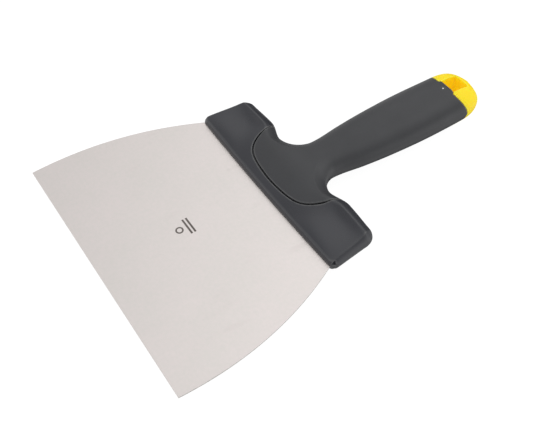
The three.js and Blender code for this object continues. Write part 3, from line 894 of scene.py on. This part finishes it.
def etched_mark(g):
    """A small etched mark with no lettering: a ring and two bars, as a mask from 0 to 1."""
    x, y, z = g.separate(g.place)
    x = g.math("SUBTRACT", x, MARK_AT[0] * MM)
    y = g.math("SUBTRACT", y, MARK_AT[1] * MM)
    ring = g.math("SQRT", g.math("ADD", g.math("MULTIPLY", x, x), g.math("MULTIPLY", y, y)))
    ring = g.math("ABSOLUTE", g.math("SUBTRACT", ring, MARK_RING * MM))
    mask = g.span(ring, 0.5 * MARK_LINE * MM, 0.7 * MARK_LINE * MM, 1, 0)
    for away in MARK_BARS:
        across = g.math("SUBTRACT", g.math("ABSOLUTE", x), MARK_BAR_HALF * MM)
        from_bar = g.math("ABSOLUTE", g.math("SUBTRACT", y, away * MM))
        bar = g.math("MAXIMUM", across, g.math("SUBTRACT", from_bar, 0.5 * MARK_BAR_T * MM))
        mask = g.math("MAXIMUM", mask, g.span(bar, 0, MARK_SOFT * MM, 1, 0))
    return g.math("MULTIPLY", mask, g.span(z, MARK_ABOVE[0] * MM, MARK_ABOVE[1] * MM, 0, 1))


def sheet_steel(name, colour, mottle):
    """Rolled and satin-ground sheet: faint clouds and flecks, fine grinding lines, rubbed marks."""
    g = Graph(name)
    lines = g.noise(1, 3, 0.6, g.stretch((60, 5200, 60)))
    clouds = g.noise(22, 3, 0.55)
    flecks = g.noise(420, 2, 0.6)
    warm = shade(colour, 1 + mottle)
    cool = shade([v * c for v, c in zip(colour, COOLER)], 1 - mottle)
    tint = g.math("ADD", g.math("MULTIPLY", clouds, 0.4), g.math("MULTIPLY", lines, 0.15))
    tint = g.math("ADD", tint, g.math("MULTIPLY", flecks, 0.45))
    base = g.mix(g.span(tint, 0.38, 0.62, 0, 1), cool, warm)
    mark = etched_mark(g)
    base = g.mix(g.math("MULTIPLY", mark, g.span(clouds, 0.3, 0.7, 0.75, 0.95)), base, MARK_DARK)
    rubs = g.span(g.noise(1, 2, 0.5, g.stretch((160, 28, 60))), 0.62, 0.72, 0, 1)
    rough = g.math("ADD", g.span(lines, 0.3, 0.7, 0.36, 0.44), g.math("MULTIPLY", rubs, 0.05))
    rough = g.math("ADD", rough, g.math("MULTIPLY", mark, 0.2))
    normal = g.bump(lines, 0.12, 0.00002)
    return g.finish(base, rough, normal, Metallic=1.0)


def turned_steel(name, colour):
    """Turned steel, with fine tool lines round it."""
    g = Graph(name)
    lines = g.noise(1, 2, 0.5, g.stretch((700, 700, 4200)))
    base = g.mix(g.span(lines, 0.3, 0.7, 0, 1), shade(colour, 0.92), colour)
    rough = g.span(g.noise(500, 2), 0.3, 0.7, 0.22, 0.32)
    return g.finish(base, rough, g.bump(lines, 0.15, 0.00002), Metallic=1.0)


head_grey = plastic("moulded_grey", GREY, 0.07, GREY_RIDGE_HIGHLIGHT, 0.30, 0.2, Specular_IOR_Level=0.55)
grip_grey = plastic("grip_grey", GRIP_GREY, 0.07, GREY_RIDGE_HIGHLIGHT, 0.38, 0.2, Specular_IOR_Level=0.4)
yellow = plastic("moulded_yellow", YELLOW, 0.02, YELLOW_RIDGE_HIGHLIGHT, 0.42, 0.15, **YELLOW_TRANSLUCENCY_AND_GLOW)
steel = sheet_steel("satin_steel", BLADE_STEEL, 0.02)
bright = turned_steel("turned_steel", PIN_STEEL)
for piece in shells:
    piece.data.materials.append(head_grey)
grip_piece.data.materials.append(grip_grey)
cap_piece.data.materials.append(yellow)
blade_piece.data.materials.append(steel)
for piece in [pin_piece] + rivet_pieces:
    piece.data.materials.append(bright)


# ---------------------------------------------------------------- studio

CAMERA_AT = (0.29102, -0.06889, 0.41591)
CAMERA_AXES = ((0.556, 0.831, 0), (-0.652, 0.437, 0.62), (0.515, -0.345, 0.785))
LENS, SENSOR = 54.36, 36

# radius and height of the floor's rings, in metres above the floor: flat, then a wall closed on top
COVE = (
    (3.0, 0.0), (5.0, 0.1), (6.5, 0.8), (7.5, 2.5),
    (7.8, 5.0), (6.0, 8.5), (3.0, 10.0), (0.2, 10.3),
)
COVE_SIDES = 96
FLOOR_DROP = 0.0005
FLOOR_TONE, FLOOR_ROUGH, FLOOR_GLOW = 0.15, 0.9, 0.95

# The dome's even level, and soft windows in it, each a direction, the cosines of the angle from it
# at the window's rim and at its full strength, and what it adds. Those that take away are screens.
DOME = 0.65
WINDOWS = (
    ((-0.15, 0.65, 0.74), (0.6, 0.95), 0.58),
    ((-0.45, -0.85, 0.0), (0.4, 0.9), 0.5),
    ((-0.44, 0.88, 0.12), (0.84, 0.98), -0.65),
    ((-0.43, 0.5, -0.75), (0.75, 1.0), -0.5),
    ((0.05, 0.35, -0.93), (0.82, 0.99), -0.4),
    ((0.42, 0.3, -0.85), (0.85, 1.0), 0.12),
    ((0.72, 0.69, -0.06), (0.85, 0.99), 0.7),
)

KEY_AT, KEY_AIM, KEY_SIZE, KEY_POWER = (0.1, 1.3, 1.2), (0, 0.15, 0), 0.8, 0.7
WHITE = (1, 1, 1, 1)


def make_camera():
    data = bpy.data.cameras.new("camera")
    data.lens = LENS
    data.sensor_width = SENSOR
    camera = link_object("camera", data)
    turn = Matrix(CAMERA_AXES).transposed().to_4x4()
    camera.matrix_world = Matrix.Translation(CAMERA_AT) @ turn
    bpy.context.scene.camera = camera


def floor_material():
    material = bpy.data.materials.new("pale_floor")
    material.use_nodes = True
    shader = material.node_tree.nodes["Principled BSDF"]
    shader.inputs["Base Color"].default_value = (FLOOR_TONE, FLOOR_TONE, FLOOR_TONE, 1)
    shader.inputs["Roughness"].default_value = FLOOR_ROUGH
    shader.inputs["Specular IOR Level"].default_value = 0.0
    shader.inputs["Emission Color"].default_value = WHITE
    shader.inputs["Emission Strength"].default_value = FLOOR_GLOW
    return material


def make_floor():
    """A pale floor that turns up into a wall all round. The dome's light passes through it."""
    level = cad_low[2] - FLOOR_DROP
    angle = np.arange(COVE_SIDES) / COVE_SIDES * 2 * np.pi
    points = [(r * np.cos(a), r * np.sin(a), level + h) for r, h in COVE for a in angle]
    mesh = bpy.data.meshes.new("floor")
    mesh.from_pydata(points, [], [tuple(range(COVE_SIDES))] + ring_faces(len(COVE), COVE_SIDES))
    mesh.materials.append(floor_material())
    floor = link_object("floor", mesh)
    floor.visible_glossy = False
    floor.visible_diffuse = False
    floor.visible_shadow = False


def make_dome():
    """A pale dome with soft windows and screens in it, never darker than black."""
    world = bpy.data.worlds.new("studio")
    world.use_nodes = True
    nodes, links = world.node_tree.nodes, world.node_tree.links

    def combine(operation, a, b):
        node = nodes.new("ShaderNodeMath")
        node.operation = operation
        links.new(a, node.inputs[0])
        if isinstance(b, bpy.types.NodeSocket):
            links.new(b, node.inputs[1])
        else:
            node.inputs[1].default_value = b
        return node.outputs[0]

    sky = nodes["Background"]
    sky.inputs["Color"].default_value = WHITE
    direction = nodes.new("ShaderNodeTexCoord").outputs["Generated"]
    level = DOME
    for aim, (rim, full), gain in WINDOWS:
        toward = nodes.new("ShaderNodeVectorMath")
        toward.operation = "DOT_PRODUCT"
        toward.inputs[1].default_value = Vector(aim).normalized()
        links.new(direction, toward.inputs[0])
        lobe = nodes.new("ShaderNodeMapRange")
        lobe.interpolation_type = "SMOOTHSTEP"
        links.new(toward.outputs["Value"], lobe.inputs["Value"])
        lobe.inputs["From Min"].default_value = rim
        lobe.inputs["From Max"].default_value = full
        lobe.inputs["To Max"].default_value = gain
        level = combine("ADD", lobe.outputs[0], level)
    links.new(combine("MAXIMUM", level, 0), sky.inputs["Strength"])
    bpy.context.scene.world = world


def make_key():
    """One soft disc of light, behind and above the handle."""
    data = bpy.data.lights.new("key", "AREA")
    data.shape = "DISK"
    data.size = KEY_SIZE
    data.energy = KEY_POWER
    light = link_object("key", data)
    light.location = KEY_AT
    light.rotation_euler = (Vector(KEY_AIM) - Vector(KEY_AT)).to_track_quat("-Z", "Y").to_euler()


make_camera()
make_floor()
make_dome()
make_key()
bpy.context.scene.view_settings.view_transform = "Standard"
